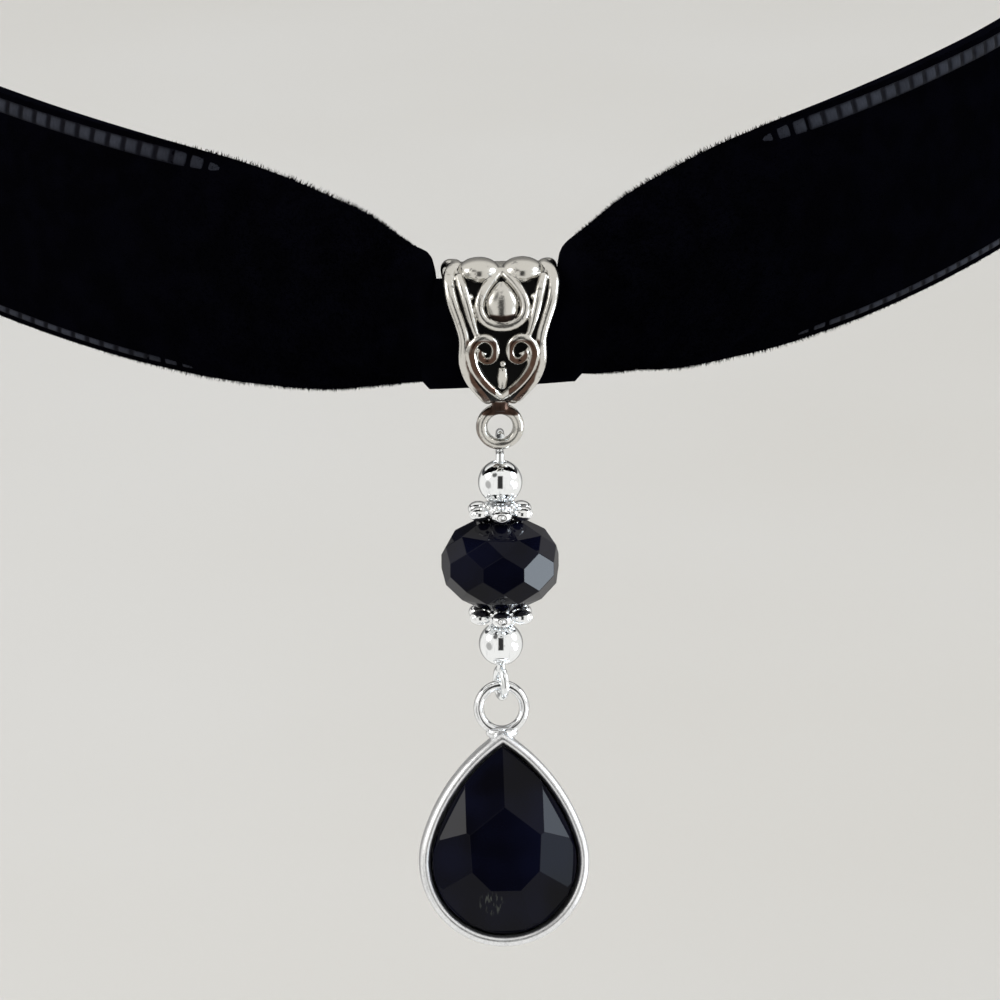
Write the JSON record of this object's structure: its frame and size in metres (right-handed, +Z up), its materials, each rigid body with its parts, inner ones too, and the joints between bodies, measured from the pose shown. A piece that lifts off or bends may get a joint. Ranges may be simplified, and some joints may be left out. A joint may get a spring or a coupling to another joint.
{
  "type": "choker necklace",
  "caption": "Black velvet ribbon choker gathered through an antique-silver scrolled bail, with a beaded link and a faceted black pear drop in a silver bezel.",
  "frame": {"origin": "centre of the neck opening, at the middle height of the ribbon's loop", "axes": "+Z up along the neck, -Y towards the front where the bail hangs, +X to the right seen from the front"},
  "size_m": [0.1008, 0.1208, 0.0616],
  "materials": {
    "black_velvet": "black cut-pile velvet with ribbed dark selvages",
    "clasp_metal": "plain satin silver-coloured metal",
    "antique_silver": "cast antique silver, polished high points over dark recesses",
    "pin_wire": "bright silver-plated wire",
    "silver_bead": "polished silver plate",
    "silver_spacer": "cast silver plate with darker recesses",
    "black_cut_glass": "opaque black cut glass, glossy facets",
    "satin_silver": "satin, slightly granular silver plate",
    "black_stone": "opaque black faceted stone, glossy facets"
  },
  "bodies": {
    "collar": {"velvet_ribbon": "black_velvet", "ribbon_clasp": "clasp_metal", "bail": "antique_silver"},
    "bead_link": {"eye_pin": "pin_wire", "upper_round_bead": "silver_bead", "upper_spacer": "silver_spacer", "rondelle_bead": "black_cut_glass", "lower_spacer": "silver_spacer", "lower_round_bead": "silver_bead"},
    "teardrop": {"bezel": "satin_silver", "pear_stone": "black_stone"}
  },
  "joints": [
    {"name": "link_swing", "type": "hinge", "parent": "collar", "child": "bead_link", "pos_m": [0, -0.05694, -0.0175], "axis": [0, 0.9962, -0.0872], "range_deg": [-40, 40]},
    {"name": "drop_swing", "type": "hinge", "parent": "bead_link", "child": "teardrop", "pos_m": [0, -0.05873, -0.03577], "axis": [0, 0.9563, -0.2924], "range_deg": [-40, 40]}
  ]
}
